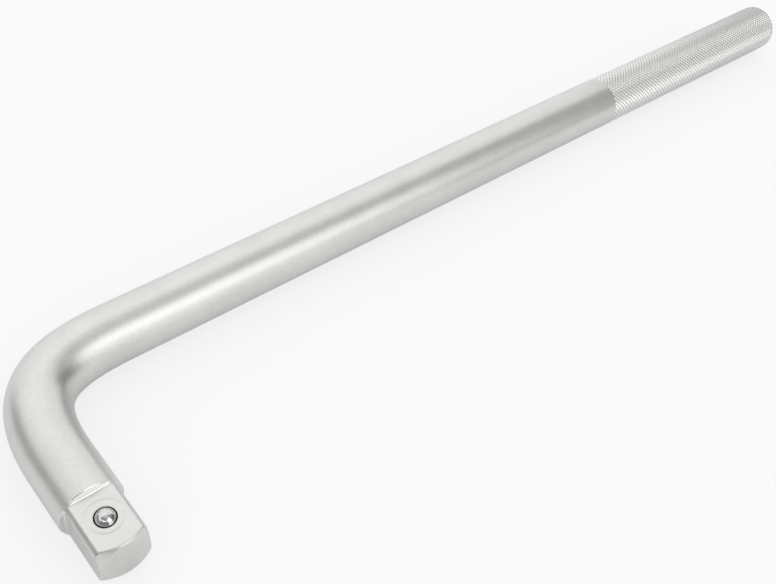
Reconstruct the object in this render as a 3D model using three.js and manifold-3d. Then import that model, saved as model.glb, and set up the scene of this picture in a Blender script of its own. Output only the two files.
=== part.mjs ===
// Square drive handle: a one-piece bar bent to an L, with a drive square milled on the end of its short leg and a
// sprung ball in the square that holds a socket on it.
//
// Millimetres, +Z up. The origin is the centre of the drive's end face. The leg runs from there along +Y, the arm
// leaves the bend along +X, and the ball looks out of the square's face along +Z.
import * as THREE from 'three';
import { mergeVertices, toCreasedNormals } from 'three/addons/utils/BufferGeometryUtils.js';
import Module from 'manifold-3d';

// Bar
const BAR_DIAMETER = 25; // round stock
const ARM_LENGTH = 472.5; // from the leg's axis to the grip's end face
const LEG_LENGTH = 88.4; // from the arm's axis to the drive's end face
const BEND_RADIUS = 33.3; // of the bar's axis
const GRIP_CHAMFER = 1.5; // on the grip's end, at 45 degrees

// Drive square
const DRIVE_SQUARE = 19.05; // across the flats
const DRIVE_LENGTH = 23.5; // from the end face to the shoulder
const SHOULDER_FILLET = 0.9; // where a flat runs out into the shoulder
const TIP_CHAMFER = 0.6; // how far the end's chamfer reaches in from the flats
const TIP_CHAMFER_ANGLE = 33.5; // between the chamfer and the end face, degrees

// Ball and the bore that holds it
const BALL_DIAMETER = 8;
const BALL_FROM_TIP = 12.6; // from the end face to the bore's axis
const LIP_HOLD = 0.15; // how far the staked lip closes over the ball, on the radius
const MOUTH_CHAMFER = 0.22; // outside the lip, on the radius and in depth
const BORE_FLOOR = 4; // left under the bore

// Spring behind the ball
const SPRING_WIRE = 0.9; // wire diameter
const SPRING_PITCH = 1.7; // rise of one turn at rest

// Clearances
const BALL_CLEARANCE = 0.3; // ball to bore wall
const SPRING_CLEARANCE = 0.5; // spring to bore wall
const SEAT_GAP = 0.15; // ball to lip, ball to spring and spring to bore floor

// Fineness of the round faces
const BAR_SIDES = 48;
const BEND_STEPS = 16;
const FILLET_STEPS = 4;
const BORE_SIDES = 32;
const BALL_SIDES = 24;
const BALL_RINGS = 16;
const COIL_STEPS = 8;
const WIRE_SIDES = 5;

// Working values
const OVERCUT = 2; // how far a cutter stands clear of what it cuts
const WELD_DISTANCE = 1e-4; // corners nearer than this are one corner
const CREASE_ANGLE = Math.PI / 9; // sharper edges stay sharp in the shading

const barRadius = BAR_DIAMETER / 2;
const flatHeight = DRIVE_SQUARE / 2;
const legStraight = LEG_LENGTH - BEND_RADIUS;
const armStraight = ARM_LENGTH - BEND_RADIUS;

const ballRadius = BALL_DIAMETER / 2;
const lipRadius = ballRadius - LIP_HOLD;
const boreRadius = ballRadius + BALL_CLEARANCE;
const boreFloorZ = BORE_FLOOR - flatHeight;
const ballHeight = flatHeight - MOUTH_CHAMFER - besideHeight(ballRadius + SEAT_GAP, lipRadius);

const wireRadius = SPRING_WIRE / 2;
const coilRadius = boreRadius - SPRING_CLEARANCE - wireRadius;
const springBottom = boreFloorZ + SEAT_GAP + wireRadius;
const springTop = ballHeight - besideHeight(ballRadius + SEAT_GAP + wireRadius, coilRadius);
const springTurns = (springTop - springBottom) / SPRING_PITCH;

const wasm = await Module();
wasm.setup();

/** Height between a ball's centre and a ring of the given radius that lies at the given distance from that centre. */
function besideHeight(distance, ringRadius) {
  return Math.sqrt(distance ** 2 - ringRadius ** 2);
}

/** Corner radius of a regular outline whose sides stand at the given radius. */
function cornerRadius(sideRadius, sides) {
  return sideRadius / Math.cos(Math.PI / sides);
}

/** Turns a closed geometry into a solid that can be cut and joined. */
function solidOf(geometry) {
  const bare = geometry.clone();
  bare.deleteAttribute('normal');
  bare.deleteAttribute('uv');
  const welded = mergeVertices(bare, WELD_DISTANCE);
  const corners = welded.index.array;
  const kept = [];
  for (let i = 0; i < corners.length; i += 3) {
    const [a, b, c] = corners.slice(i, i + 3);
    if (a !== b && b !== c && c !== a) kept.push(a, b, c);
  }
  const mesh = new wasm.Mesh({
    numProp: 3,
    vertProperties: welded.attributes.position.array,
    triVerts: new Uint32Array(kept),
  });
  return new wasm.Manifold(mesh);
}

/** Turns a solid back into a geometry, with round faces shaded smooth. */
function geometryOf(solid) {
  const mesh = solid.getMesh();
  const geometry = new THREE.BufferGeometry();
  geometry.setAttribute('position', new THREE.BufferAttribute(mesh.vertProperties, 3));
  geometry.setIndex(new THREE.BufferAttribute(mesh.triVerts, 1));
  return toCreasedNormals(geometry, CREASE_ANGLE);
}

/** Regular outline with a side, not a corner, on each axis. */
function roundOutline(radius, sides) {
  const outline = new THREE.Shape();
  for (let i = 0; i < sides; i += 1) {
    const angle = ((i + 0.5) / sides) * Math.PI * 2;
    const x = radius * Math.cos(angle);
    const y = radius * Math.sin(angle);
    if (i === 0) outline.moveTo(x, y);
    else outline.lineTo(x, y);
  }
  outline.closePath();
  return outline;
}

/** Solid turned about the Y axis from a list of [radius, height] points. */
function turned(points, sides) {
  const profile = points.map(([radius, height]) => new THREE.Vector2(radius, height));
  return new THREE.LatheGeometry(profile, sides);
}

/** The bar's axis from the drive's end face to the grip's: one step for each straight, the rest in the bend. */
class BarAxis extends THREE.Curve {
  static steps = BEND_STEPS + 2;

  /** Angle that the bar has turned through at a share of the steps. */
  turnAt(share) {
    const bendShare = (share * BarAxis.steps - 1) / BEND_STEPS;
    return (THREE.MathUtils.clamp(bendShare, 0, 1) * Math.PI) / 2;
  }

  getPointAt(share, target = new THREE.Vector3()) {
    const step = share * BarAxis.steps;
    const turn = this.turnAt(share);
    const alongLeg = Math.min(step, 1) * legStraight;
    const alongArm = Math.max(step - 1 - BEND_STEPS, 0) * armStraight;
    const x = BEND_RADIUS * (1 - Math.cos(turn)) + alongArm;
    const y = BEND_RADIUS * Math.sin(turn) + alongLeg;
    return target.set(x, y, 0);
  }

  getTangentAt(share, target = new THREE.Vector3()) {
    const turn = this.turnAt(share);
    return target.set(Math.sin(turn), Math.cos(turn), 0);
  }
}

/** The round bar, bent and cut to length. */
function bentBar() {
  const outline = roundOutline(cornerRadius(barRadius, BAR_SIDES), BAR_SIDES);
  return solidOf(new THREE.ExtrudeGeometry(outline, { steps: BarAxis.steps, extrudePath: new BarAxis() }));
}

/** What the cutter takes off one side of the bar to leave the flat under +Z. */
function flatCut() {
  const fillet = Math.min(SHOULDER_FILLET, barRadius - flatHeight);
  const top = barRadius + OVERCUT;
  const cut = new THREE.Shape();
  cut.moveTo(-OVERCUT, flatHeight);
  cut.lineTo(DRIVE_LENGTH - fillet, flatHeight);
  cut.absarc(DRIVE_LENGTH - fillet, flatHeight + fillet, fillet, -Math.PI / 2, 0, false);
  cut.lineTo(DRIVE_LENGTH, top);
  cut.lineTo(-OVERCUT, top);
  cut.closePath();
  const geometry = new THREE.ExtrudeGeometry(cut, { depth: 2 * top, bevelEnabled: false, curveSegments: FILLET_STEPS });
  geometry.translate(0, 0, -top);
  const along = new THREE.Vector3(0, 1, 0);
  const up = new THREE.Vector3(0, 0, 1);
  const across = new THREE.Vector3(1, 0, 0);
  geometry.applyMatrix4(new THREE.Matrix4().makeBasis(along, up, across));
  return geometry;
}

/** Ring that turns a chamfer on a bar's end: the end face lies at height 0 and the bar above it. */
function chamferRing(faceRadius, angle) {
  const rise = Math.tan(angle);
  const inner = cornerRadius(faceRadius, BAR_SIDES);
  const outer = cornerRadius(barRadius, BAR_SIDES) + OVERCUT;
  const ring = turned(
    [
      [inner - OVERCUT / rise, -OVERCUT],
      [outer, -OVERCUT],
      [outer, (outer - inner) * rise],
      [inner - OVERCUT / rise, -OVERCUT],
    ],
    BAR_SIDES,
  );
  return ring.rotateY(Math.PI / BAR_SIDES);
}

/** The ball's bore from its floor to its mouth, under the square's +Z face, with the lip that traps the ball. */
function ballBore() {
  const lipDepth = MOUTH_CHAMFER;
  const lipBack = lipDepth + boreRadius - lipRadius;
  const floorDepth = flatHeight - boreFloorZ;
  const bore = turned(
    [
      [0, -floorDepth],
      [boreRadius, -floorDepth],
      [boreRadius, -lipBack],
      [lipRadius, -lipDepth],
      [lipRadius + lipDepth + OVERCUT, OVERCUT],
      [0, OVERCUT],
    ],
    BORE_SIDES,
  );
  bore.rotateX(Math.PI / 2);
  return bore.translate(0, BALL_FROM_TIP, flatHeight);
}

/** The whole bar: bent, milled square, chamfered at both ends and bored for the ball. */
function driveBar() {
  let bar = bentBar();
  for (let side = 0; side < 4; side += 1) {
    bar = bar.subtract(solidOf(flatCut().rotateY((side * Math.PI) / 2)));
  }
  const tipRing = chamferRing(flatHeight - TIP_CHAMFER, THREE.MathUtils.degToRad(TIP_CHAMFER_ANGLE));
  const gripRing = chamferRing(barRadius - GRIP_CHAMFER, Math.PI / 4);
  gripRing.rotateZ(Math.PI / 2).translate(ARM_LENGTH, LEG_LENGTH, 0);
  bar = bar.subtract(solidOf(tipRing)).subtract(solidOf(gripRing)).subtract(solidOf(ballBore()));
  return geometryOf(bar);
}

/** The ball, up against the lip. */
function detentBall() {
  return new THREE.SphereGeometry(ballRadius, BALL_SIDES, BALL_RINGS);
}

/** The spring's wire line, climbing from the bore's floor to the ball. */
class SpringLine extends THREE.Curve {
  getPoint(share, target = new THREE.Vector3()) {
    const angle = share * springTurns * Math.PI * 2;
    const height = THREE.MathUtils.lerp(springBottom, springTop, share);
    return target.set(coilRadius * Math.cos(angle), coilRadius * Math.sin(angle), height);
  }
}

/** The compression spring, one unbroken wire. */
function detentSpring() {
  const outline = roundOutline(wireRadius, WIRE_SIDES);
  const steps = Math.ceil(springTurns * COIL_STEPS);
  return new THREE.ExtrudeGeometry(outline, { steps, extrudePath: new SpringLine() });
}

/** Least gap between the spring's turns, measured on points along its wire. */
function springGap() {
  const samples = Math.ceil(springTurns * COIL_STEPS) * 4;
  const points = new SpringLine().getPoints(samples);
  const halfTurn = Math.floor(samples / springTurns / 2);
  let least = Infinity;
  for (let i = 0; i < points.length; i += 1) {
    for (let j = i + halfTurn; j < points.length; j += 1) {
      least = Math.min(least, points[i].distanceTo(points[j]));
    }
  }
  return least - SPRING_WIRE;
}

/** A named piece with its own finish. */
function piece(name, geometry, finish) {
  const mesh = new THREE.Mesh(geometry, new THREE.MeshStandardMaterial(finish));
  mesh.name = name;
  return mesh;
}

const bar = piece('drive_bar', driveBar(), { color: 0xc6c7c8, roughness: 0.38, metalness: 1 });

const ball = piece('detent_ball', detentBall(), { color: 0xdfe1e3, roughness: 0.06, metalness: 1 });
ball.position.set(0, BALL_FROM_TIP, ballHeight);

const spring = piece('detent_spring', detentSpring(), { color: 0x8e9092, roughness: 0.3, metalness: 1 });
spring.position.set(0, BALL_FROM_TIP, 0);

console.log(`detent_spring least gap between turns: ${springGap().toFixed(2)} mm`);

const handle = new THREE.Group();
handle.add(bar, ball, spring);

export default handle;
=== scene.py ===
"""A square drive handle: a bent bar with a milled drive square, a sprung ball and a knurled grip.

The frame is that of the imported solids: metres, +Z up, the origin at the centre of the drive's end face, the
leg along +Y and the arm along +X. Sizes in the classes are in millimetres and angles in degrees. They become
metres and radians where a mesh is made.
"""

from __future__ import annotations

import logging
import math
from collections.abc import Callable, Sequence
from dataclasses import dataclass, field
from enum import IntEnum
from typing import Any

import bmesh
import bpy
from mathutils import Euler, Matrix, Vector

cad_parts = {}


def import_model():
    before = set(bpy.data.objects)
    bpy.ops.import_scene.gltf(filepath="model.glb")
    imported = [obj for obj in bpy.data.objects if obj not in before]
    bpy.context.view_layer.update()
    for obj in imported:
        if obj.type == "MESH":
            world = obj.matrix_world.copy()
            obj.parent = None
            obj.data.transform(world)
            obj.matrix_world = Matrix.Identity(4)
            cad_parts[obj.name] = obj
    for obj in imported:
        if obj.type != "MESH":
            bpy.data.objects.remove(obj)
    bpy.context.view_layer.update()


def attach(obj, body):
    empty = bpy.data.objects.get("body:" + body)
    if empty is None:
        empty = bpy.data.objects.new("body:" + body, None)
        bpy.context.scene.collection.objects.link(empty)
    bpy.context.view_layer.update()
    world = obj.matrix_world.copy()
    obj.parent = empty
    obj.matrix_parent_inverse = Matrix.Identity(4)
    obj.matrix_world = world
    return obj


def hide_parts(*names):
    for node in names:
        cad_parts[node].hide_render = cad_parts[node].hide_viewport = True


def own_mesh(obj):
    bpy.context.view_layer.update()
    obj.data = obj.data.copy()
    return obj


LOG = logging.getLogger("square_drive_handle")

MM = 0.001
IMAGE_WIDTH = 776

BAR_RADIUS = 12.49  # a hair inside the solids' round
BORE_AXIS = 12.6  # from the drive's end face
ARM_AXIS = 88.4  # from the drive's end face
GRIP_START = 330.5  # from the leg's axis
STAGE_CENTRE = (200.0, 60.0, 0.0)

WELD = 1e-6  # metres; corners nearer than this are one corner
CREASE = math.radians(25)  # sharper edges stay sharp in the shading
SOFT_CREASE = math.radians(55)  # the same where the edges are rounded over
NOISE_MIDDLE = 0.5
PATCH_EDGES = (0.35, 0.65)  # noise values between which one tint gives way to the other

Colour = tuple[float, float, float]
Point = tuple[float, float, float]
Corner = bmesh.types.BMVert


def smooth_min(a: float, b: float, reach: float) -> float:
    """Lesser of two lengths, eased where they cross.

    Args:
        a: First length.
        b: Second length.
        reach: How far apart the lengths may be and still be eased together.

    Returns:
        A length no greater than either.
    """
    near = max(reach - abs(a - b), 0.0)
    return min(a, b) - near * near / (4 * reach)


def towards(azimuth: float, elevation: float) -> Vector:
    """Direction of an azimuth, 0 towards -Y and a quarter turn towards +X, and an elevation.

    Args:
        azimuth: Turn about the upright, in degrees.
        elevation: Angle above the floor, in degrees.

    Returns:
        The direction, one long.
    """
    turn, up = math.radians(azimuth), math.radians(elevation)
    flat = math.cos(up)
    return Vector((math.sin(turn) * flat, -math.cos(turn) * flat, math.sin(up)))


def put(name: str, data: bpy.types.ID) -> bpy.types.Object:
    """Adds an object to the scene, at the origin.

    Args:
        name: The object's name.
        data: Its mesh, lamp or camera.

    Returns:
        The object.
    """
    made = bpy.data.objects.new(name, data)
    bpy.context.scene.collection.objects.link(made)
    return made


class Field:
    """A number socket of a node tree that takes part in Python sums."""

    def __init__(self, book: NodeBook, socket: bpy.types.NodeSocket) -> None:
        """Keeps the tree's book and the socket."""
        self.book = book
        self.socket = socket

    def __add__(self, other: Field | float) -> Field:
        """Sum."""
        return self.book.calc("ADD", self, other)

    __radd__ = __add__

    def __sub__(self, other: Field | float) -> Field:
        """Difference."""
        return self.book.calc("SUBTRACT", self, other)

    def __rsub__(self, other: float) -> Field:
        """Difference from a plain number."""
        return self.book.calc("SUBTRACT", other, self)

    def __mul__(self, other: Field | float) -> Field:
        """Product."""
        return self.book.calc("MULTIPLY", self, other)

    __rmul__ = __mul__

    def __truediv__(self, other: Field | float) -> Field:
        """Quotient."""
        return self.book.calc("DIVIDE", self, other)

    def __rtruediv__(self, other: float) -> Field:
        """Quotient of a plain number."""
        return self.book.calc("DIVIDE", other, self)

    def root(self) -> Field:
        """Square root."""
        return self.book.calc("SQRT", self)

    def sine(self) -> Field:
        """Sine."""
        return self.book.calc("SINE", self)

    def cosine(self) -> Field:
        """Cosine."""
        return self.book.calc("COSINE", self)

    def least(self, other: Field | float) -> Field:
        """Lesser of the two."""
        return self.book.calc("MINIMUM", self, other)

    def most(self, other: Field | float) -> Field:
        """Greater of the two."""
        return self.book.calc("MAXIMUM", self, other)

    def above(self, limit: float) -> Field:
        """1 where the number is over the limit, otherwise 0."""
        return self.book.calc("GREATER_THAN", self, limit)

    def ease(self, low: float, high: float) -> Field:
        """Share from 0 at low to 1 at high, smooth at both ends.

        Args:
            low: Where the share leaves 0.
            high: Where the share reaches 1.

        Returns:
            The share.
        """
        settings = {"interpolation_type": "SMOOTHSTEP"}
        sockets = {"Value": self, "From Min": low, "From Max": high}
        return Field(self.book, self.book.add("ShaderNodeMapRange", settings, sockets).outputs["Result"])


class NodeBook:
    """Writes the nodes of one tree."""

    def __init__(self, tree: bpy.types.NodeTree) -> None:
        """Keeps the tree."""
        self.tree = tree

    @classmethod
    def blank(cls, owner: bpy.types.Material | bpy.types.World) -> NodeBook:
        """Opens the tree of a material or a world, with nothing in it.

        Args:
            owner: The material or the world.

        Returns:
            The tree's book.
        """
        owner.use_nodes = True
        owner.node_tree.nodes.clear()
        return cls(owner.node_tree)

    def add(
        self,
        kind: str,
        settings: dict[str, Any] | None = None,
        sockets: dict[str | int, Any] | None = None,
    ) -> bpy.types.Node:
        """Adds any node.

        Args:
            kind: The node's type.
            settings: The node's own settings, set first.
            sockets: A value, a link or a list of links for each input, by name or place.

        Returns:
            The node.
        """
        node = self.tree.nodes.new(kind)
        for name, value in (settings or {}).items():
            setattr(node, name, value)
        for key, value in (sockets or {}).items():
            for one in value if isinstance(value, list) else [value]:
                self._feed(node.inputs[key], one)
        return node

    def _feed(self, socket: bpy.types.NodeSocket, value: Any) -> None:
        """Links something to an input, or sets the input's own value.

        Args:
            socket: The input.
            value: A field, node or socket to link, or a plain value.
        """
        if isinstance(value, Field):
            value = value.socket
        if isinstance(value, bpy.types.Node):
            value = next(output for output in value.outputs if output.enabled)
        if isinstance(value, bpy.types.NodeSocket):
            self.tree.links.new(value, socket)
        else:
            socket.default_value = value

    def calc(self, operation: str, a: Field | float, b: Field | float | None = None) -> Field:
        """Adds a Math node.

        Args:
            operation: The node's operation.
            a: First value.
            b: Second value, where the operation takes one.

        Returns:
            The result.
        """
        sockets = {0: a} if b is None else {0: a, 1: b}
        return Field(self, self.add("ShaderNodeMath", {"operation": operation}, sockets).outputs[0])

    def parts(self, vector: Any) -> tuple[Field, Field, Field]:
        """Splits a vector, from a socket or a node, into its three numbers."""
        outputs = self.add("ShaderNodeSeparateXYZ", sockets={0: vector}).outputs
        return Field(self, outputs[0]), Field(self, outputs[1]), Field(self, outputs[2])

    def vector(self, x: Field | float, y: Field | float, z: Field | float) -> bpy.types.Node:
        """Joins three numbers into a vector."""
        return self.add("ShaderNodeCombineXYZ", sockets={0: x, 1: y, 2: z})

    def mix(self, share: Field, low: Any, high: Any) -> bpy.types.NodeSocket:
        """Mixes two colours.

        Args:
            share: 0 for the first colour, 1 for the second.
            low: First colour, or a link to one.
            high: Second colour, or a link to one.

        Returns:
            The mixed colour's socket.
        """
        ends = [(*c, 1.0) if isinstance(c, tuple) else c for c in (low, high)]
        # The colours' sockets come after those for numbers and vectors.
        node = self.add("ShaderNodeMix", {"data_type": "RGBA"}, {0: share, 6: ends[0], 7: ends[1]})
        return node.outputs[2]

    def noise(self, coordinates: Any, size: float, detail: float = 2.0) -> Field:
        """Soft random field.

        Args:
            coordinates: Where the field is read, in metres.
            size: Size of its lumps, in millimetres.
            detail: How many finer layers it has.

        Returns:
            A value about NOISE_MIDDLE.
        """
        sockets = {"Vector": coordinates, "Scale": 1 / (size * MM), "Detail": detail}
        return Field(self, self.add("ShaderNodeTexNoise", sockets=sockets).outputs[0])


@dataclass(frozen=True)
class Mottle:
    """Random lumps in a finish: their size, how far they change its roughness, and their height."""

    size: float
    rough: float
    height: float


@dataclass
class Coat:
    """A finish in the making: its nodes, coordinates, colour, roughness and relief, in metres."""

    book: NodeBook
    place: bpy.types.NodeSocket
    colour: Any
    rough: Field
    height: Field


@dataclass(frozen=True)
class MetalFinish:
    """A bare or plated metal surface with soft clouds, fine grain and a little relief."""

    name: str
    colour: Colour
    roughness: float
    tint: float
    clouds: Mottle
    grain: Mottle

    def material(self) -> bpy.types.Material:
        """Makes the finish.

        Returns:
            The material.
        """
        material = bpy.data.materials.new(self.name)
        book = NodeBook.blank(material)
        place = book.add("ShaderNodeTexCoord").outputs["Object"]
        cloud = book.noise(place, self.clouds.size, 3.0)
        grain = book.noise(place, self.grain.size)
        dull = tuple(part * (1 - self.tint) for part in self.colour)
        cloud_rough = (cloud - NOISE_MIDDLE) * self.clouds.rough
        grain_rough = (grain - NOISE_MIDDLE) * self.grain.rough
        coat = Coat(
            book,
            place,
            colour=book.mix(((cloud + grain) * 0.5).ease(*PATCH_EDGES), dull, self.colour),
            rough=self.roughness + cloud_rough + grain_rough,
            height=cloud * (self.clouds.height * MM) + grain * (self.grain.height * MM),
        )
        self.work(coat)
        relief = book.add("ShaderNodeBump", sockets={"Strength": 1.0, "Distance": 1.0, "Height": coat.height})
        shader = book.add(
            "ShaderNodeBsdfPrincipled",
            sockets={"Base Color": coat.colour, "Metallic": 1.0, "Roughness": coat.rough, "Normal": relief},
        )
        book.add("ShaderNodeOutputMaterial", sockets={"Surface": shader})
        return material

    def work(self, coat: Coat) -> None:
        """Leaves a plain finish as it is; a worked finish adds its marks here."""


@dataclass(frozen=True)
class MilledFinish(MetalFinish):
    """Plate over milled faces: faint cutter lines across the leg, and a painted highlight on the shoulder's
    fillet and wall, which are also made glossier.
    """

    line_pitch: float = 0.55
    line_height: float = 0.0006
    waver_size: float = 4.0
    waver: float = 0.8
    # where the painted highlight on the shoulder starts and ends, how patchy its edge is, and how much
    # glossier it is
    highlight_start: float = 22.6
    highlight_end: float = 23.6
    highlight_patch_size: float = 1.6
    highlight_patch: float = 0.5
    highlight_gloss: float = 0.08
    # painted highlight: a lighter colour that makes the shoulder's wall shine
    shoulder_highlight: Colour = (0.821, 0.82, 0.805)

    def work(self, coat: Coat) -> None:
        """Adds the cutter lines, and the painted highlight and extra gloss on the shoulder.

        Args:
            coat: The finish so far, which changes.
        """
        book = coat.book
        _, y, _ = book.parts(coat.place)
        waver = book.noise(coat.place, self.waver_size) * (self.waver * MM)
        lines = ((y + waver) * (math.tau / (self.line_pitch * MM))).sine()
        patchy = book.noise(coat.place, self.highlight_patch_size, 3.0) * (self.highlight_patch * MM)
        # painted highlight: the shoulder's fillet and wall get a lighter colour, with a patchy edge, and less
        # roughness
        highlight = (y + patchy).ease(self.highlight_start * MM, self.highlight_end * MM)
        coat.colour = book.mix(highlight, coat.colour, self.shoulder_highlight)
        coat.rough = coat.rough - highlight * self.highlight_gloss
        coat.height = coat.height + lines * (self.line_height * MM)


@dataclass(frozen=True)
class KnurlFinish(MetalFinish):
    """Plate over the arm's knurl: bright crests, with painted shade in the grooves and painted shade
    darkening it towards the grip's far end.
    """

    start: float = GRIP_START
    end: float = 472.5
    # painted shade: the colour that the knurl darkens to towards the grip's far end
    far_end_shade: Colour = (0.731, 0.73, 0.716)
    crest: float = 12.4
    root: float = 12.05
    # painted shade: the darker colour in the knurl's grooves
    groove: Colour = (0.701, 0.7, 0.686)
    groove_rough: float = 0.05

    def work(self, coat: Coat) -> None:
        """Paints shade into the grooves and towards the grip's far end, and makes the grooves a little
        rougher.

        Args:
            coat: The finish so far, which changes.
        """
        book = coat.book
        x, y, z = book.parts(coat.place)
        # painted shade: darker towards the grip's far end
        far_end_shade = book.mix(x.ease(self.start * MM, self.end * MM), coat.colour, self.far_end_shade)
        across = y - ARM_AXIS * MM
        reach = (across * across + z * z).root()
        # painted shade: darker colour and more roughness in the knurl's grooves
        deep = 1.0 - reach.ease(self.root * MM, self.crest * MM)
        coat.colour = book.mix(deep, far_end_shade, self.groove)
        coat.rough = coat.rough + deep * self.groove_rough


@dataclass(frozen=True)
class ScuffedFinish(MetalFinish):
    """Polished steel with a net of fine scuffs."""

    scuff_size: float = 0.5
    scuff_rough: float = 0.12
    scuff_edges: tuple[float, float] = (0.52, 0.75)
    stretch: tuple[float, float, float] = (0.25, 0.6, 0.3)

    def work(self, coat: Coat) -> None:
        """Adds the scuffs.

        Args:
            coat: The finish so far, which changes.
        """
        book = coat.book
        x, y, z = book.parts(coat.place)
        along_x, along_y, across = self.stretch
        stretched = book.vector(x * along_x + y * along_y, y * across - x, z)
        scuff = book.noise(stretched, self.scuff_size, 4.0).ease(*self.scuff_edges)
        coat.rough = coat.rough + scuff * self.scuff_rough


class Finishes:
    """The handle's finishes."""

    def __init__(self) -> None:
        """Makes each material once."""
        self.satin = MetalFinish(
            "satin_chrome",
            (0.767, 0.765, 0.749),
            roughness=0.37,
            tint=0.07,
            clouds=Mottle(14.0, 0.05, 0.09),
            grain=Mottle(1.6, 0.06, 0.014),
        ).material()
        self.milled = MilledFinish(
            "milled_chrome",
            (0.752, 0.75, 0.735),
            roughness=0.33,
            tint=0.04,
            clouds=Mottle(6.0, 0.06, 0.006),
            grain=Mottle(0.4, 0.05, 0.001),
        ).material()
        self.knurl = KnurlFinish(
            "knurled_chrome",
            (0.891, 0.89, 0.875),
            roughness=0.15,
            tint=0.04,
            clouds=Mottle(9.0, 0.05, 0.004),
            grain=Mottle(0.5, 0.05, 0.001),
        ).material()
        # painted shade: a near-black finish on the inside of the lip and down the bore stands in for the
        # shade there
        self.bore = MetalFinish(
            "bore_painted_shade",
            (0.035, 0.034, 0.033),
            roughness=0.45,
            tint=0.3,
            clouds=Mottle(2.0, 0.2, 0.01),
            grain=Mottle(0.3, 0.1, 0.002),
        ).material()
        self.ball = ScuffedFinish(
            "polished_steel",
            (0.7, 0.7, 0.695),
            roughness=0.05,
            tint=0.03,
            clouds=Mottle(3.0, 0.02, 0.0),
            grain=Mottle(0.3, 0.01, 0.0),
        ).material()
        self.spring = MetalFinish(
            "spring_steel",
            (0.56, 0.565, 0.57),
            roughness=0.32,
            tint=0.12,
            clouds=Mottle(2.5, 0.1, 0.002),
            grain=Mottle(0.25, 0.08, 0.001),
        ).material()


class ShapeTree:
    """A Geometry Nodes tree with named sizes that turns into a plain mesh."""

    def __init__(self, name: str, sizes: dict[str, float | int], material: bpy.types.Material) -> None:
        """Opens the tree.

        Args:
            name: The tree's name.
            sizes: Named inputs and their values; whole numbers are counts.
            material: Finish that the shape gets.
        """
        self.name = name
        self.sizes = sizes
        self.material = material
        self.tree = bpy.data.node_groups.new(name, "GeometryNodeTree")
        self.book = NodeBook(self.tree)
        self.identifiers: dict[str, str] = {}
        for label, size in sizes.items():
            kind = "NodeSocketInt" if isinstance(size, int) else "NodeSocketFloat"
            item = self.tree.interface.new_socket(name=label, in_out="INPUT", socket_type=kind)
            self.identifiers[label] = item.identifier
        self.tree.interface.new_socket(name="Shape", in_out="OUTPUT", socket_type="NodeSocketGeometry")
        self.entry = self.tree.nodes.new("NodeGroupInput")

    def size(self, label: str) -> Field:
        """A named input as a field."""
        return Field(self.book, self.entry.outputs[label])

    def mesh(self, shape: bpy.types.Node) -> bpy.types.Mesh:
        """Ends the tree, runs it and keeps the result.

        Args:
            shape: Node whose first output is the shape.

        Returns:
            A plain mesh.
        """
        real = self.book.add("GeometryNodeRealizeInstances", sockets={"Geometry": shape})
        dressed = self.book.add(
            "GeometryNodeSetMaterial", sockets={"Geometry": real, "Material": self.material}
        )
        self.book.add("NodeGroupOutput", sockets={0: dressed})
        carrier = put(self.name, bpy.data.meshes.new(self.name))
        modifier = carrier.modifiers.new(self.name, "NODES")
        modifier.node_group = self.tree
        for label, size in self.sizes.items():
            modifier[self.identifiers[label]] = size
        evaluated = carrier.evaluated_get(bpy.context.evaluated_depsgraph_get())
        mesh = bpy.data.meshes.new_from_object(evaluated)
        carrier.modifiers.remove(modifier)
        bpy.data.objects.remove(carrier)
        return mesh


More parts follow.
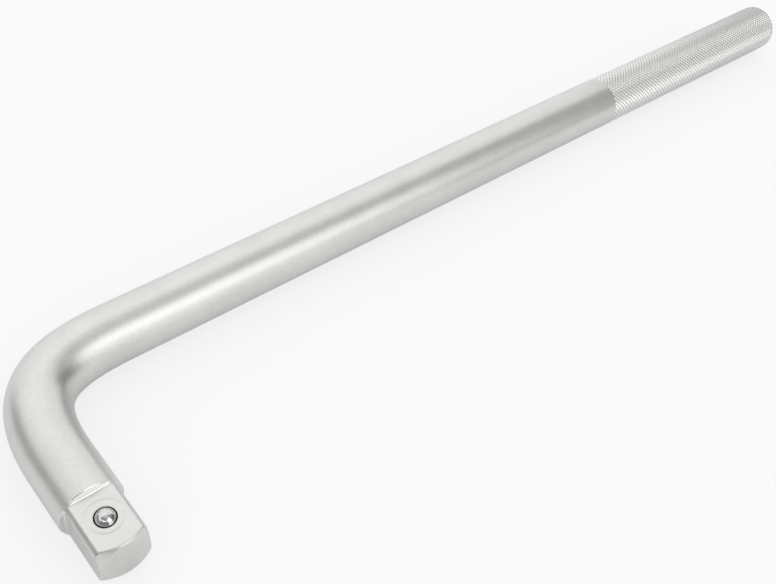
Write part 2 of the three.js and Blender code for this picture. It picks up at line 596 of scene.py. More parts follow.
class Shell:
    """One closed mesh put together from open parts."""

    def __init__(self) -> None:
        """Starts with nothing."""
        self.work = bmesh.new()

    def add_mesh(self, mesh: bpy.types.Mesh, slot: int) -> None:
        """Adds a plain mesh.

        Args:
            mesh: The mesh, which is used up.
            slot: Material slot of its faces.
        """
        before = len(self.work.faces)
        self.work.from_mesh(mesh)
        self.work.faces.ensure_lookup_table()
        for face in self.work.faces[before:]:
            face.material_index = slot
        bpy.data.meshes.remove(mesh)

    def ring(self, points: Sequence[Point | Vector]) -> list[Corner]:
        """Adds corners at places in millimetres."""
        return [self.work.verts.new(Vector(p) * MM) for p in points]

    def face(self, corners: Sequence[Corner], slot: int) -> None:
        """Adds a face between corners."""
        self.work.faces.new(corners).material_index = slot

    def bridge(self, first: Sequence[Corner], second: Sequence[Corner], slot: int) -> None:
        """Closes the strip between two rings with as many corners.

        Args:
            first: Corners of one ring.
            second: Corners of the other, each next to its fellow.
            slot: Material slot of the strip.
        """
        for k in range(len(first)):
            n = (k + 1) % len(first)
            self.face((first[k], first[n], second[n], second[k]), slot)

    def fan(self, ring: Sequence[Corner], middle: Point | Vector, slot: int) -> None:
        """Closes a ring to one point.

        Args:
            ring: The ring's corners.
            middle: The point, in millimetres.
            slot: Material slot of the faces.
        """
        (tip,) = self.ring([middle])
        for k in range(len(ring)):
            self.face((ring[k], ring[(k + 1) % len(ring)], tip), slot)

    def rim(self, test: Callable[[Vector], bool], angle: Callable[[Vector], float]) -> list[Corner]:
        """Open rim in the order of its angles.

        Args:
            test: Says whether a place belongs to the rim.
            angle: Angle of a place about the rim's axis.

        Returns:
            The rim's corners.
        """
        found = {v for e in self.work.edges if e.is_boundary for v in e.verts if test(v.co)}
        return sorted(found, key=lambda v: angle(v.co))

    def join_rims(
        self,
        first: Sequence[Corner],
        second: Sequence[Corner],
        angle: Callable[[Vector], float],
        slot: int,
    ) -> None:
        """Closes the strip between two rims round the same axis, whatever their counts of corners.

        Args:
            first: Corners of one rim by angle.
            second: Corners of the other rim by angle.
            angle: Angle of a place about the axis.
            slot: Material slot of the strip.
        """
        loops = [list(first) + [first[0]], list(second) + [second[0]]]
        turns = [[angle(v.co) for v in rim] + [angle(rim[0].co) + math.tau] for rim in (first, second)]
        at = [0, 0]
        while at[0] < len(first) or at[1] < len(second):
            ahead = [turns[k][at[k] + 1] if at[k] + 1 < len(turns[k]) else math.inf for k in (0, 1)]
            side = 0 if ahead[0] <= ahead[1] else 1
            self.face((loops[0][at[0]], loops[1][at[1]], loops[side][at[side] + 1]), slot)
            at[side] += 1

    def piece(
        self,
        name: str,
        materials: Sequence[bpy.types.Material],
        soft_slot: int | None = None,
    ) -> bpy.types.Object:
        """Closes the work into an object at the origin.

        Args:
            name: The piece's name.
            materials: Its material slots in order.
            soft_slot: Material slot whose blunt edges are rounded in the shading.

        Returns:
            The object.
        """
        bmesh.ops.remove_doubles(self.work, verts=self.work.verts[:], dist=WELD)
        bmesh.ops.recalc_face_normals(self.work, faces=self.work.faces[:])
        for edge in self.work.edges:
            soft = all(face.material_index == soft_slot for face in edge.link_faces)
            edge.smooth = edge.calc_face_angle(0.0) < (SOFT_CREASE if soft else CREASE)
        open_edges = sum(1 for e in self.work.edges if not e.is_manifold)
        mesh = bpy.data.meshes.new(name)
        self.work.to_mesh(mesh)
        self.work.free()
        mesh.shade_smooth()
        for material in materials:
            mesh.materials.append(material)
        triangles = sum(len(p.vertices) - 2 for p in mesh.polygons)
        LOG.info("%s: %d triangles, %d open edges", name, triangles, open_edges)
        return put(name, mesh)


class BarSlot(IntEnum):
    """Material slots of the bar."""

    SATIN = 0
    MILLED = 1
    KNURL = 2
    BORE = 3


@dataclass
class DriveEnd:
    """The milled square on the leg: its end, flats, shoulder and the mouth of the ball's bore.

    Rows of corners run round the leg, from the middle of the end face to the round leg behind the shoulder.
    The mouth and the bore fill a patch that is left open in the upper flat.
    """

    radius: float = BAR_RADIUS
    flat: float = 9.525  # half the width across the flats
    corner_ease: float = 0.25  # how near a flat comes to the round before they are eased together
    corner_angles: tuple[float, ...] = (39.2, 39.7, 40.1, 40.45, 40.85, 41.35, 42.1, 43.4)

    tip_radius: float = 8.925  # of the end face
    tip_angle: float = 33.5  # between the end face and the turned chamfer
    tip_round: float = 0.6  # between the same two
    tip_steps: int = 4
    edge_round: float = 0.75  # between the chamfer and the sides
    edge_steps: int = 5
    end_shares: tuple[float, ...] = (0.2, 0.45, 0.7, 0.88, 1.0)
    chamfer_shares: tuple[float, ...] = (0.25, 0.5, 0.75, 1.0)
    run_out: float = 4.0  # where the tip's rows end
    run_shares: tuple[float, ...] = (0.2, 0.45, 0.75, 1.0)

    shoulder: float = 23.5  # from the end face to the foot of the shoulder's wall
    shoulder_lean: float = 0.26  # how far the wall leans back by its rim
    shoulder_steps: int = 6
    fillet: float = 0.9  # between a flat and the wall
    flat_rows: tuple[float, ...] = (21.2, 22.0)
    rim_break: float = 0.15  # taken off the wall's rim
    rim_fade: float = 0.5  # height of wall over which the break comes in
    rim_step: float = 0.8
    leg_row: float = 26.5
    length: float = 29.5  # from the end face to the last row

    bore_y: float = BORE_AXIS
    patch_x: float = 7.6  # half the patch's width
    patch_y: float = 7.8  # half the patch's length
    patch_steps: int = 24
    mouth: tuple[tuple[float, float], ...] = (  # radius and depth, from the patch's edge into the bore
        (7.45, 0.0),
        (7.2, 0.02),
        (6.9, 0.09),
        (6.6, 0.12),
        (6.3, 0.09),
        (6.0, 0.025),
        (5.7, 0.0),
        (5.2, 0.0),
        (4.8, 0.01),
        (4.5, 0.03),
        (4.3, 0.05),
        (4.18, 0.08),
        (4.07, 0.14),
        (3.93, 0.19),
        (3.85, 0.25),
        (3.86, 0.32),
        (3.98, 0.44),
        (4.15, 0.6),
    )
    bore_radius: float = 4.3
    bore_top: float = 0.75  # depth at which the bore is at its full width
    bore_floor: float = -5.525
    bore_chamfer: float = 0.3
    floor_ring: float = 1.5
    dark_from: float = 3.95  # radius inside which the steel is painted dark, as shade in the bore's mouth
    dark_depth: float = 0.3  # depth under which it is painted dark, as shade in the bore

    def spread(self) -> list[float]:
        """Shares from -1 to 1 that lie at even angles as seen from the patch's middle."""
        return [math.tan(math.radians(90 * i / self.patch_steps - 45)) for i in range(self.patch_steps + 1)]

    def columns(self) -> list[float]:
        """Angles round the leg at which its outline is drawn.

        Returns:
            Angles from +Z towards +X, in radians, once round.
        """
        middle = [math.atan(self.patch_x * share / self.flat) for share in self.spread()]
        side = [math.radians(a) for a in self.corner_angles]
        quarter = [-a for a in reversed(side)] + middle + side + [math.pi / 4]
        return [a + math.pi / 2 * turn for turn in range(4) for a in quarter]

    def off_flat(self, angle: float) -> float:
        """Angle from the middle of the nearest flat."""
        return abs((angle + math.pi / 4) % (math.pi / 2) - math.pi / 4)

    def tip_profile(self, edge: float) -> list[tuple[float, float]]:
        """Line from the end face over the turned chamfer onto the side.

        Args:
            edge: Radius of the side here.

        Returns:
            Radius and distance from the end face of each point.
        """
        slope = math.radians(self.tip_angle)
        rise = (edge - self.tip_radius) * math.tan(slope)
        before = self.tip_round * math.tan(slope / 2)
        after = self.edge_round * math.tan((math.pi / 2 - slope) / 2)
        start = self.tip_radius - before
        line = [(start * share, 0.0) for share in self.end_shares]
        for i in range(1, self.tip_steps + 1):
            turn = slope * i / self.tip_steps
            line.append((start + self.tip_round * math.sin(turn), self.tip_round * (1 - math.cos(turn))))
        low_r, low_s = line[-1]
        high_r, high_s = edge - after * math.cos(slope), rise - after * math.sin(slope)
        for share in self.chamfer_shares:
            line.append((low_r + (high_r - low_r) * share, low_s + (high_s - low_s) * share))
        for i in range(1, self.edge_steps + 1):
            turn = slope + (math.pi / 2 - slope) * i / self.edge_steps
            radius = edge - self.edge_round * (1 - math.sin(turn))
            line.append((radius, rise + after - self.edge_round * math.cos(turn)))
        last = line[-1][1]
        for share in self.run_shares:
            line.append((edge, last + (self.run_out - last) * share))
        return line

    def round_rows(self) -> list[float]:
        """Distances from the end face of the rows on the round leg behind the shoulder."""
        clear = self.shoulder + self.shoulder_lean + self.rim_break
        return [clear, clear + self.rim_step, self.leg_row, self.length]

    def side_rows(self) -> list[tuple[float, float, bool]]:
        """Rows from the flats over the shoulder to the round leg.

        Returns:
            Distance from the end face, height of the cut, and whether the rim is broken there.
        """
        rows = [(self.bore_y + self.patch_y * share, self.flat, False) for share in self.spread()]
        foot = self.shoulder - self.fillet
        rows += [(along, self.flat, False) for along in (*self.flat_rows, foot)]
        steps = self.shoulder_steps
        for i in range(1, steps + 1):
            turn = math.pi / 2 * i / steps
            height = self.flat + self.fillet * (1 - math.cos(turn))
            rows.append((foot + self.fillet * math.sin(turn), height, False))
        wall = self.flat + self.fillet
        top = self.radius + self.corner_ease
        for i in range(1, steps + 1):
            share = i / steps
            rows.append((self.shoulder + self.shoulder_lean * share, wall + (top - wall) * share, True))
        return rows + [(along, 2 * self.radius, False) for along in self.round_rows()]

    def edge_radius(self, off: float, height: float, broken: bool) -> float:
        """Radius of the outline.

        Args:
            off: Angle from the middle of the nearest flat.
            height: Height of the cut there.
            broken: Whether the shoulder's rim is broken there.

        Returns:
            The radius.
        """
        limit = self.radius
        if broken:
            stands = self.radius - (self.flat + self.fillet) / math.cos(off)
            limit -= self.rim_break * min(max(stands / self.rim_fade, 0.0), 1.0)
        return smooth_min(height / math.cos(off), limit, self.corner_ease)

    def add_to(self, shell: Shell) -> None:
        """Draws the drive end.

        Args:
            shell: Where it goes.
        """
        angles = self.columns()
        offs = [self.off_flat(a) for a in angles]
        tips = [self.tip_profile(self.edge_radius(off, self.flat, False)) for off in offs]
        rows = [list(row) for row in zip(*tips)]
        first_side = len(rows)
        for along, height, broken in self.side_rows():
            rows.append([(self.edge_radius(off, height, broken), along) for off in offs])
        first_round = len(rows) - len(self.round_rows())
        rings = [
            shell.ring([(r * math.sin(a), along, r * math.cos(a)) for (r, along), a in zip(row, angles)])
            for row in rows
        ]
        left = len(self.corner_angles)
        right, top = left + self.patch_steps, first_side + self.patch_steps
        on_flat = math.acos(self.flat / self.radius)
        shell.fan(rings[0], (0.0, 0.0, 0.0), BarSlot.MILLED)
        for i, (low, high) in enumerate(zip(rings, rings[1:])):
            for j in range(len(angles)):
                if first_side <= i < top and left <= j < right:
                    continue
                n = (j + 1) % len(angles)
                land = i >= first_side - 1 and self.off_flat((angles[j] + angles[n]) / 2) > on_flat
                slot = BarSlot.SATIN if land or i >= first_round else BarSlot.MILLED
                shell.face((low[j], low[n], high[n], high[j]), slot)
        gap = rings[first_side][left:right] + [ring[right] for ring in rings[first_side:top]]
        gap += rings[top][right:left:-1] + [ring[left] for ring in rings[top:first_side:-1]]
        self.add_mouth(shell, gap)

    def add_mouth(self, shell: Shell, gap: Sequence[Corner]) -> None:
        """Draws the staked mouth and the bore inside the patch left open in the flat.

        Args:
            shell: Where they go.
            gap: Corners round the patch.
        """
        turns = [math.atan2(corner.co.y - self.bore_y * MM, corner.co.x) for corner in gap]
        rings = [(radius, self.flat - depth) for radius, depth in self.mouth]
        rings += [
            (self.bore_radius, self.flat - self.bore_top),
            (self.bore_radius, self.bore_floor + self.bore_chamfer),
            (self.bore_radius - self.bore_chamfer, self.bore_floor),
            (self.floor_ring, self.bore_floor),
        ]
        inner = gap
        for radius, height in rings:
            ring = shell.ring(
                [(radius * math.cos(t), self.bore_y + radius * math.sin(t), height) for t in turns]
            )
            # painted shade: inside the lip and down the bore the near-black finish is used
            dark = radius < self.dark_from or height < self.flat - self.dark_depth
            shell.bridge(inner, ring, BarSlot.BORE if dark else BarSlot.MILLED)
            inner = ring
        shell.fan(inner, (0.0, self.bore_y, self.bore_floor), BarSlot.BORE)


@dataclass
class RoundBar:
    """The plain round bar: the rest of the leg, the bend and the arm up to the knurl."""

    radius: float = BAR_RADIUS
    leg_start: float = 30.0
    arm_axis: float = ARM_AXIS
    leg_run: float = 42.7  # from the arm's axis down to the bend's start
    arm_run: float = 45.1  # from the leg's axis along to the bend's end
    tightness: float = 1.26  # how hard the bend's middle is drawn towards the corner
    thinning: float = 0.03  # share of the radius that the bend's middle loses
    arm_end: float = GRIP_START
    sides: int = 128
    bend_steps: int = 56

    def mesh(self, material: bpy.types.Material) -> bpy.types.Mesh:
        """Sweeps the round along the bar's axis.

        The bend is tightest in its middle, where the bar is drawn a little thinner, and eases into both
        straights.

        Args:
            material: Finish of the bar.

        Returns:
            An open tube.
        """
        shape = ShapeTree(
            "round_bar",
            {
                "Radius": self.radius * MM,
                "Leg Start": self.leg_start * MM,
                "Arm Axis": self.arm_axis * MM,
                "Leg Run": self.leg_run * MM,
                "Arm Run": self.arm_run * MM,
                "Tightness": self.tightness,
                "Thinning": self.thinning,
                "Arm End": self.arm_end * MM,
                "Sides": self.sides,
                "Bend Steps": self.bend_steps,
            },
            material,
        )
        book = shape.book
        line, middle = self.axis(shape)
        # The product of the two shares is a quarter in the bend's middle, and its square a sixteenth.
        thin = 1.0 - middle * middle * shape.size("Thinning") * 16.0
        axis = book.add("GeometryNodeSetCurveRadius", sockets={"Curve": line, "Radius": thin})
        outline = book.add(
            "GeometryNodeCurvePrimitiveCircle",
            sockets={"Resolution": shape.size("Sides"), "Radius": shape.size("Radius")},
        )
        tube = book.add("GeometryNodeCurveToMesh", sockets={"Curve": axis, "Profile Curve": outline})
        return shape.mesh(tube)

    def axis(self, shape: ShapeTree) -> tuple[bpy.types.Node, Field]:
        """Line along the bar's middle: one straight step, the bend's steps and one straight step.

        Args:
            shape: The bar's tree.

        Returns:
            The line, and the product of the shares of the bend behind and ahead of each point.
        """
        book = shape.book
        steps, leg_run, arm_run = shape.size("Bend Steps"), shape.size("Leg Run"), shape.size("Arm Run")
        index = Field(book, book.add("GeometryNodeInputIndex").outputs[0])
        turned = ((index - 1.0) / steps).most(0.0).least(1.0)
        left = 1.0 - turned
        middle = turned * left
        from_leg, from_arm = left * left, turned * turned
        whole = from_leg + from_arm + middle * shape.size("Tightness") * 2.0
        before = 1.0 - index.least(1.0)
        after = (index - steps - 1.0).most(0.0)
        climb = shape.size("Arm Axis") - from_leg * leg_run / whole
        climb = climb - before * (shape.size("Arm Axis") - leg_run - shape.size("Leg Start"))
        reach = from_arm * arm_run / whole + after * (shape.size("Arm End") - arm_run)
        line = book.add("GeometryNodeMeshLine", sockets={"Count": steps + 3.0})
        placed = book.add(
            "GeometryNodeSetPosition", sockets={"Geometry": line, "Position": book.vector(reach, climb, 0.0)}
        )
        return book.add("GeometryNodeMeshToCurve", sockets={"Mesh": placed}), middle


@dataclass
class GripKnurl:
    """The rolled diamond knurl on the grip, over the rounded edge of its end."""

    crest_radius: float = 12.46
    axis_y: float = ARM_AXIS
    start: float = GRIP_START
    end: float = 472.48
    around: int = 33
    rows: int = 66
    depth: float = 0.42
    crest_share: float = 0.42  # of a diamond's width
    end_round: float = 2.2
    end_turn: float = 80.0  # how far round the end's edge the knurl runs
    end_fade: float = 1.6  # rows over which the grooves run out
    end_shares: tuple[float, ...] = (1.0, 0.7, 0.35)
    tile_weld: float = 0.01  # of a diamond's width
    seam_weld: float = 0.002

    def mesh(self, material: bpy.types.Material) -> bpy.types.Mesh:
        """Lays the diamonds flat, then wraps them round the arm and over the end's edge.

        Args:
            material: Finish of the knurl.

        Returns:
            An open sleeve.
        """
        straight = self.end - self.end_round - self.start
        length = straight + self.end_round * math.radians(self.end_turn)
        shape = ShapeTree(
            "grip_knurl",
            {
                "Around": self.around,
                "Rows": self.rows,
                "Pitch": length / self.rows * MM,
                "Crest Radius": self.crest_radius * MM,
                "Depth": self.depth * MM,
                "Crest Share": self.crest_share,
                "Start": self.start * MM,
                "Straight": straight * MM,
                "End Round": self.end_round * MM,
                "Axis": self.axis_y * MM,
            },
            material,
        )
        book = shape.book
        flat = self.lay(shape)
        across, along, lift = book.parts(book.add("GeometryNodeInputPosition"))
        outside = (along * -1.0).most(along - shape.size("Rows")).above(0.0)
        kept = book.add(
            "GeometryNodeDeleteGeometry", {"domain": "FACE"}, {"Geometry": flat, "Selection": outside}
        )
        reach, over = self.wrap(shape, along, lift)
        angle = across * (math.tau / self.around)
        wrapped = book.vector(over, shape.size("Axis") - reach * angle.sine(), reach * angle.cosine())
        sleeve = book.add("GeometryNodeSetPosition", sockets={"Geometry": kept, "Position": wrapped})
        welded = {"Geometry": sleeve, "Distance": self.seam_weld * MM}
        return shape.mesh(book.add("GeometryNodeMergeByDistance", sockets=welded))

    def lay(self, shape: ShapeTree) -> bpy.types.Node:
        """Lays raised diamonds, one long, one wide and one high, in two lattices half a pitch apart.

        Args:
            shape: The knurl's tree.

        Returns:
            The diamonds in one flat sheet, a little past both ends.
        """
        book = shape.book
        around, rows = shape.size("Around"), shape.size("Rows")
        tile = book.add(
            "GeometryNodeMeshCircle", {"fill_type": "TRIANGLE_FAN"}, {"Vertices": 4, "Radius": 0.5}
        )
        raised = book.add(
            "GeometryNodeExtrudeMesh",
            {"mode": "FACES"},
            {"Mesh": tile, "Offset": (0.0, 0.0, 1.0), "Offset Scale": 1.0, "Individual": False},
        )
        diamond = book.add(
            "GeometryNodeScaleElements",
            {"domain": "FACE"},
            {
                "Geometry": raised,
                "Selection": raised.outputs["Top"],
                "Scale": shape.size("Crest Share"),
                "Center": (0.0, 0.0, 1.0),
            },
        )
        lattices = []
        for offset in (0.0, 0.5):
            tall = rows + (1.0 - 2 * offset)
            wide, high = around - 1.0, tall - 1.0
            grid = book.add(
                "GeometryNodeMeshGrid",
                sockets={"Size X": wide, "Size Y": high, "Vertices X": around, "Vertices Y": tall},
            )
            shift = book.vector(wide * 0.5 + offset, high * 0.5 + offset, 0.0)
            moved = {"Geometry": grid, "Translation": shift}
            lattices.append(book.add("GeometryNodeTransform", sockets=moved))
        joined = book.add("GeometryNodeJoinGeometry", sockets={"Geometry": lattices})
        tiles = book.add("GeometryNodeInstanceOnPoints", sockets={"Points": joined, "Instance": diamond})
        flat = book.add("GeometryNodeRealizeInstances", sockets={"Geometry": tiles})
        welded = {"Geometry": flat, "Distance": self.tile_weld}
        return book.add("GeometryNodeMergeByDistance", sockets=welded)

    def wrap(self, shape: ShapeTree, along: Field, lift: Field) -> tuple[Field, Field]:
        """Profile that the knurl follows along the arm and over the end's edge.

        Args:
            shape: The knurl's tree.
            along: Distance from the start in rows.
            lift: 0 at the root of a groove, 1 on a crest.

        Returns:
            Distance from the arm's axis, and place along the arm.
        """
        run = along * shape.size("Pitch")
        edge = shape.size("End Round")
        turn = ((run - shape.size("Straight")) / edge).most(0.0)
        fade = along.ease(self.rows - self.end_fade, float(self.rows))
        filled = lift + (1.0 - lift) * fade
        radius = edge - shape.size("Depth") * (1.0 - filled)
        reach = shape.size("Crest Radius") - edge + radius * turn.cosine()
        over = shape.size("Start") + run.least(shape.size("Straight")) + radius * turn.sine()
        return reach, over

    def add_end(self, shell: Shell, rim: Sequence[Corner], slot: int) -> None:
        """Closes the grip's end face.

        Args:
            shell: The bar so far.
            rim: Open rim at the grip's end.
            slot: Material slot of the face.
        """
        centre = Vector((self.end, self.axis_y, 0.0))
        face_radius = self.crest_radius - self.end_round
        spokes = [Vector((0.0, v.co.y - self.axis_y * MM, v.co.z)).normalized() for v in rim]
        inner = rim
        for share in self.end_shares:
            ring = shell.ring([centre + spoke * face_radius * share for spoke in spokes])
            shell.bridge(inner, ring, slot)
            inner = ring
        shell.fan(inner, centre, slot)


@dataclass
class DriveBar:
    """The bar in one piece: drive square, leg, bend, arm and knurled grip."""

    finishes: Finishes
    drive: DriveEnd = field(default_factory=DriveEnd)
    bar: RoundBar = field(default_factory=RoundBar)
    grip: GripKnurl = field(default_factory=GripKnurl)
    rim_reach: float = 0.1  # how near a rim's plane its corners lie
    leg_side: float = 15.0  # the leg's corners are all nearer its axis
    grip_side: float = 50.0  # past the knurl's start by this much, only its far end is open

    def build(self) -> bpy.types.Object:
        """Makes the bar's mesh and dresses it.

        Returns:
            The finished piece.
        """
        shell = Shell()
        finishes = self.finishes
        self.drive.add_to(shell)
        shell.add_mesh(self.bar.mesh(finishes.satin), BarSlot.SATIN)
        shell.add_mesh(self.grip.mesh(finishes.knurl), BarSlot.KNURL)
        self.join(shell)
        coats = [finishes.satin, finishes.milled, finishes.knurl, finishes.bore]
        piece = shell.piece("handle_bar", coats, BarSlot.KNURL)
        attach(piece, "bar")
        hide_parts("drive_bar")
        return piece

    def join(self, shell: Shell) -> None:
        """Joins the drive end, the round bar and the knurl, and closes the grip's end.

        Args:
            shell: The three open parts.
        """
        axis_y, start = self.bar.arm_axis * MM, self.grip.start * MM
        reach, leg_side, far_side = self.rim_reach * MM, self.leg_side * MM, start + self.grip_side * MM

        def round_leg(place: Vector) -> float:
            """Angle about the leg's axis."""
            return math.atan2(place.x, place.z)

        def round_arm(place: Vector) -> float:
            """Angle about the arm's axis."""
            return math.atan2(axis_y - place.y, place.z)

        def leg_rim(height: float) -> list[Corner]:
            """Open rim of the leg at a height."""
            return shell.rim(lambda p: abs(p.y - height * MM) < reach and p.x < leg_side, round_leg)

        square_rim, leg_start = leg_rim(self.drive.length), leg_rim(self.bar.leg_start)
        plain, knurled = self.part_rims(shell.rim(lambda p: abs(p.x - start) < reach, round_arm))
        far = shell.rim(lambda p: p.x > far_side, round_arm)
        shell.join_rims(square_rim, leg_start, round_leg, BarSlot.SATIN)
        shell.join_rims(plain, knurled, round_arm, BarSlot.SATIN)
        self.grip.add_end(shell, far, BarSlot.SATIN)

    def part_rims(self, corners: Sequence[Corner]) -> tuple[list[Corner], list[Corner]]:
        """Parts the two rims that meet at the knurl's start.

        Args:
            corners: Corners of both rims by angle.

        Returns:
            The plain bar's rim and the knurl's rim.
        """
        plain, knurled = [], []
        for corner in corners:
            neighbours = [f.material_index for f in corner.link_faces]
            (plain if BarSlot.SATIN in neighbours else knurled).append(corner)
        return plain, knurled


@dataclass
class DetentBall:
    """The polished ball, up against the staked lip."""

    finishes: Finishes
    radius: float = 4.0
    centre: Point = (0.0, BORE_AXIS, 7.756)
    cuts: int = 23
    crown_wear: float = 0.02  # worn off the middle of the crown
    crown_reach: float = 0.9  # how far out the wear goes

    def build(self) -> bpy.types.Object:
        """Makes the ball from six bulged squares, its crown a little worn.

        Returns:
            The finished piece.
        """
        shell = Shell()
        bmesh.ops.create_cube(shell.work, size=2.0)
        bmesh.ops.subdivide_edges(shell.work, edges=shell.work.edges[:], cuts=self.cuts, use_grid_fill=True)
        centre = Vector(self.centre)
        for corner in shell.work.verts:
            even = Vector([math.tan(part * math.pi / 4) for part in corner.co]).normalized()
            off_crown = math.hypot(even.x, even.y) * self.radius
            worn = self.crown_wear * math.exp(-((off_crown / self.crown_reach) ** 2)) if even.z > 0 else 0.0
            corner.co = (centre + even * (self.radius - worn)) * MM
        piece = shell.piece("ball", [self.finishes.ball])
        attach(piece, "ball")
        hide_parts("detent_ball")
        return piece


@dataclass
class DetentSpring:
    """The compression spring behind the ball."""

    finishes: Finishes
    coil_radius: float = 3.35
    wire: float = 0.9
    bottom: float = -4.925
    top: float = 4.604
    pitch: float = 1.7
    axis_y: float = BORE_AXIS
    steps: int = 40
    sides: int = 12
    travel: float = 2.4  # how far the ball presses it together

    def build(self) -> bpy.types.Object:
        """Winds the spring.

        Returns:
            The finished piece.
        """
        rise = self.top - self.bottom
        shape = ShapeTree(
            "coil",
            {
                "Coil Radius": self.coil_radius * MM,
                "Wire Radius": self.wire / 2 * MM,
                "Turns": rise / self.pitch,
                "Rise": rise * MM,
                "Bottom": self.bottom * MM,
                "Axis": self.axis_y * MM,
                "Steps": self.steps,
                "Sides": self.sides,
            },
            self.finishes.spring,
        )
        book = shape.book
        line = book.add(
            "GeometryNodeCurveSpiral",
            sockets={
                "Resolution": shape.size("Steps"),
                "Rotations": shape.size("Turns"),
                "Start Radius": shape.size("Coil Radius"),
                "End Radius": shape.size("Coil Radius"),
                "Height": shape.size("Rise"),
            },
        )
        outline = book.add(
            "GeometryNodeCurvePrimitiveCircle",
            sockets={"Resolution": shape.size("Sides"), "Radius": shape.size("Wire Radius")},
        )
        wire = book.add(
            "GeometryNodeCurveToMesh", sockets={"Curve": line, "Profile Curve": outline, "Fill Caps": True}
        )
        place = book.vector(0.0, shape.size("Axis"), shape.size("Bottom"))
        seated = book.add("GeometryNodeTransform", sockets={"Geometry": wire, "Translation": place})
        shell = Shell()
        shell.add_mesh(shape.mesh(seated), 0)
        piece = shell.piece("spring", [self.finishes.spring])
        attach(piece, "bar")
        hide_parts("detent_spring")
        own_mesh(piece)
        return piece


@dataclass(frozen=True)
class Card:
    """A curved studio card that shows only in reflections, by its span as seen from its centre."""

    name: str
    azimuth: tuple[float, float]
    elevation: tuple[float, float]
    grey: float
    centre: Point = STAGE_CENTRE
    distance: float = 4200.0
    steps: int = 12

    def build(self) -> None:
        """Hangs the card."""
        shares = [i / self.steps for i in range(self.steps + 1)]
        (low, high), (start, end) = self.elevation, self.azimuth
        points = []
        for up in shares:
            for turn in shares:
                away = towards(start + (end - start) * turn, low + (high - low) * up)
                points.append((Vector(self.centre) + away * self.distance) * MM)
        row = self.steps + 1
        firsts = [i * row + j for i in range(self.steps) for j in range(self.steps)]
        mesh = bpy.data.meshes.new(self.name)
        mesh.from_pydata(points, [], [(a, a + 1, a + row + 1, a + row) for a in firsts])
        material = bpy.data.materials.new(self.name)
        book = NodeBook.blank(material)
        glow = book.add("ShaderNodeEmission", sockets={"Color": (self.grey, self.grey, self.grey, 1.0)})
        book.add("ShaderNodeOutputMaterial", sockets={"Surface": glow})
        mesh.materials.append(material)
        card = put(self.name, mesh)
        card.visible_camera = False
        card.visible_diffuse = False
        card.visible_shadow = False
        card.visible_transmission = False


@dataclass(frozen=True)
class Softbox:
    """A soft lamp, by its direction, the angles that it spans and how bright its face is."""

    name: str
    azimuth: float
    elevation: float
    span: tuple[float, float]
    strength: float
    centre: Point = STAGE_CENTRE
    distance: float = 4000.0

    def build(self) -> None:
        """Hangs the lamp, facing the handle."""
        lamp = bpy.data.lights.new(self.name, "AREA")
        lamp.shape = "RECTANGLE"
        lamp.size, lamp.size_y = [
            2 * self.distance * MM * math.tan(math.radians(angle / 2)) for angle in self.span
        ]
        lamp.energy = self.strength * math.pi * lamp.size * lamp.size_y
        holder = put(self.name, lamp)
        away = towards(self.azimuth, self.elevation)
        holder.location = (Vector(self.centre) + away * self.distance) * MM
        holder.rotation_euler = away.to_track_quat("Z", "Y").to_euler()
        holder.visible_camera = False


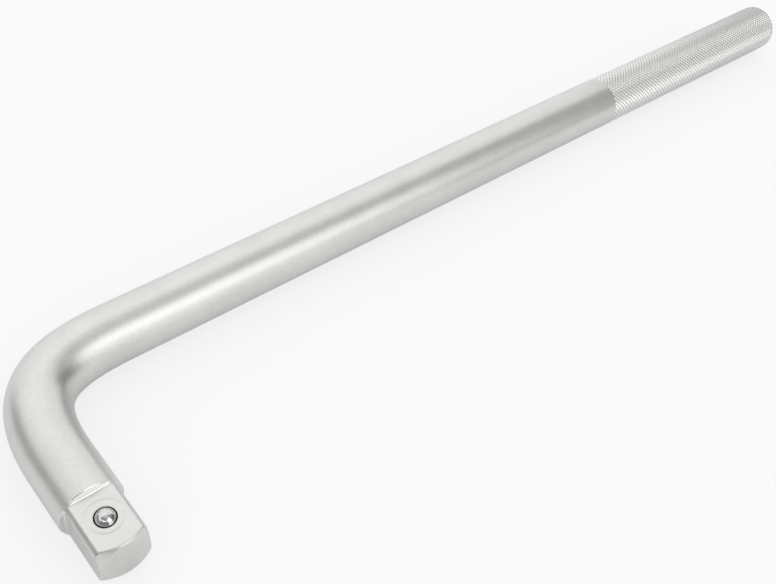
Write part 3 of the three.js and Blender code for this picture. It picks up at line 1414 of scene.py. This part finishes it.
@dataclass
class Studio:
    """Pale floor, white surroundings, soft lamps and the camera."""

    floor_height: float = -12.5
    floor_width: float = 10000.0
    floor_grey: float = 0.79
    floor_glow: float = 0.74  # share of plain white that the camera sees in the floor
    mirror_glow: float = 0.05  # the same in reflections
    camera_place: Point = (-63.129, -161.006, 317.86)
    camera_turn: tuple[float, float, float] = (42.596, -6.1485, -39.3237)
    focal_pixels: float = 1020.42  # of an image IMAGE_WIDTH wide
    sensor: float = 36.0
    cards: tuple[Card, ...] = (
        Card("left_card", (-150.0, -85.0), (0.0, 26.0), 0.32),
        Card("front_card", (-85.0, -2.0), (0.0, 37.0), 0.26),
        Card("right_card", (44.0, 95.0), (0.0, 34.0), 0.18),
        Card("right_top_card", (44.0, 95.0), (34.0, 62.0), 0.44),
        Card("right_low_card", (29.0, 44.0), (0.0, 15.0), 0.5),
        Card("front_top_card", (-120.0, -5.0), (48.0, 75.0), 0.36),
        Card("top_card", (-5.0, 120.0), (62.0, 75.0), 0.65),
        Card("zenith_card", (-180.0, 180.0), (75.0, 90.0), 0.72),
        Card("grip_card", (116.0, 178.0), (2.0, 80.0), 0.72, centre=(455.0, ARM_AXIS, 0.0), distance=140.0),
    )
    lamps: tuple[Softbox, ...] = (
        Softbox("key_softbox", 19.0, 40.0, (32.0, 32.0), 0.8),
        Softbox("low_softbox", 19.0, 12.0, (38.0, 22.0), 0.15),
        Softbox("small_softbox", -51.7, 44.1, (9.0, 9.0), 2.0),
        Softbox("back_softbox", 165.0, 56.0, (42.0, 30.0), 0.12),
    )

    def build(self) -> None:
        """Sets up the stage."""
        scene = bpy.context.scene
        scene.view_settings.view_transform = "Standard"
        scene.world = bpy.data.worlds.new("white_surroundings")
        book = NodeBook.blank(scene.world)
        white = book.add("ShaderNodeBackground", sockets={"Color": (1.0, 1.0, 1.0, 1.0), "Strength": 1.0})
        book.add("ShaderNodeOutputWorld", sockets={"Surface": white})
        self.build_floor()
        for hung in (*self.cards, *self.lamps):
            hung.build()
        self.build_camera()

    def build_floor(self) -> None:
        """Lays the floor under the bar, near white to the camera and with the handle's shadow on it."""
        half = self.floor_width / 2 * MM
        mesh = bpy.data.meshes.new("floor")
        corners = [(-half, -half), (half, -half), (half, half), (-half, half)]
        mesh.from_pydata([(x, y, self.floor_height * MM) for x, y in corners], [], [(0, 1, 2, 3)])
        material = bpy.data.materials.new("floor_paper")
        book = NodeBook.blank(material)
        grey = self.floor_grey
        paper = book.add("ShaderNodeBsdfDiffuse", sockets={"Color": (grey, grey, grey, 1.0)})
        glow = book.add("ShaderNodeEmission", sockets={"Color": (1.0, 1.0, 1.0, 1.0), "Strength": 1.0})
        path = book.add("ShaderNodeLightPath").outputs
        kinds = ("Is Camera Ray", "Is Glossy Ray", "Is Transmission Ray")
        camera, glossy, through = [Field(book, path[kind]) for kind in kinds]
        share = (camera * self.floor_glow).most(glossy.most(through) * self.mirror_glow)
        lit = book.add("ShaderNodeMixShader", sockets={0: share, 1: paper, 2: glow})
        book.add("ShaderNodeOutputMaterial", sockets={"Surface": lit})
        mesh.materials.append(material)
        put("floor", mesh)

    def build_camera(self) -> None:
        """Stands the camera where the photograph was taken."""
        camera = bpy.data.cameras.new("camera")
        camera.sensor_width = self.sensor
        camera.lens = self.focal_pixels / IMAGE_WIDTH * self.sensor
        holder = put("camera", camera)
        holder.location = Vector(self.camera_place) * MM
        holder.rotation_euler = Euler([math.radians(a) for a in self.camera_turn], "XYZ")
        bpy.context.scene.camera = holder


def main() -> None:
    """Builds the handle on its frame, piece by piece."""
    logging.basicConfig(level=logging.INFO, format="%(name)s %(message)s")
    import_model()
    Studio().build()
    finishes = Finishes()
    for maker in (DriveBar(finishes), DetentBall(finishes), DetentSpring(finishes)):
        piece = maker.build()
        LOG.info("built %s", piece.name)


if __name__ == "__main__":
    main()
